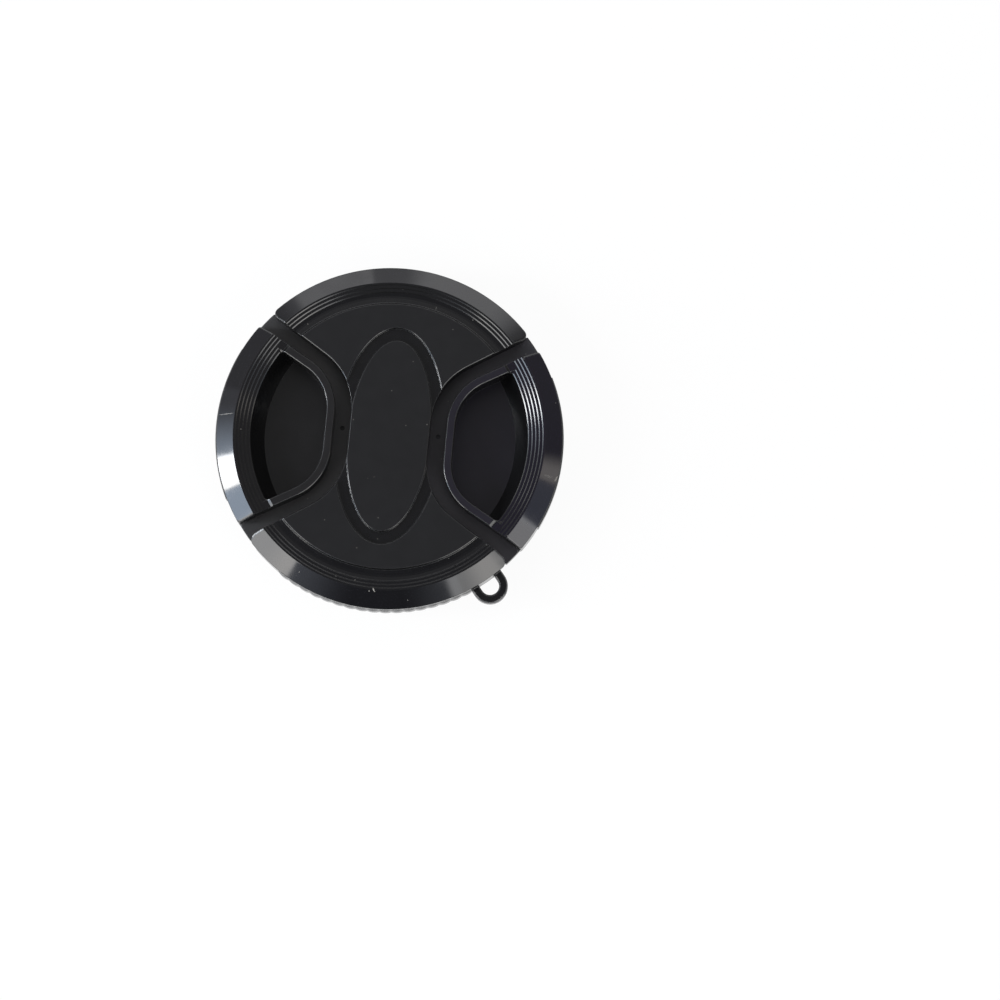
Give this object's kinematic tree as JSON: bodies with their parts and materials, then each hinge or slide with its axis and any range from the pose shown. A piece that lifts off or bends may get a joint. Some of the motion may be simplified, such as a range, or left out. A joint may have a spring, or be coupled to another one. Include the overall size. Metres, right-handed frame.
{
  "type": "camera lens cap",
  "caption": "Round black clip-in lens cap with bevelled rim, stepped ring, oval centre pad, two sprung centre-pinch finger latches and a lanyard eyelet.",
  "frame": {"origin": "on the optical axis, in the plane of the rear ring on which the cap rests", "axes": "+Z out of the front face along the optical axis, X along the line in which the latches slide"},
  "size_m": [0.061, 0.061, 0.0093],
  "materials": {
    "shell": "black moulding, finely textured front, glossy bevelled rim",
    "latch": "black moulding, finely textured grip wall, glossy bevelled rim",
    "plate": "black moulding, plain satin",
    "spring": "bright spring wire"
  },
  "bodies": {
    "shell": {"front_shell": "shell", "back_plate": "plate", "upper_spring": "spring", "lower_spring": "spring"},
    "left_latch": {"left_latch": "latch"},
    "right_latch": {"right_latch": "latch"}
  },
  "joints": [
    {"name": "left_slide", "type": "slide", "parent": "shell", "child": "left_latch", "axis": [1, 0, 0], "range_m": [0, 0.0024], "stiffness_N_per_m": 1000, "springref_m": -0.003, "deforming": ["upper_spring", "lower_spring"]},
    {"name": "right_slide", "type": "slide", "parent": "shell", "child": "right_latch", "axis": [-1, 0, 0], "range_m": [0, 0.0024], "stiffness_N_per_m": 1000, "springref_m": -0.003, "deforming": ["upper_spring", "lower_spring"]}
  ]
}
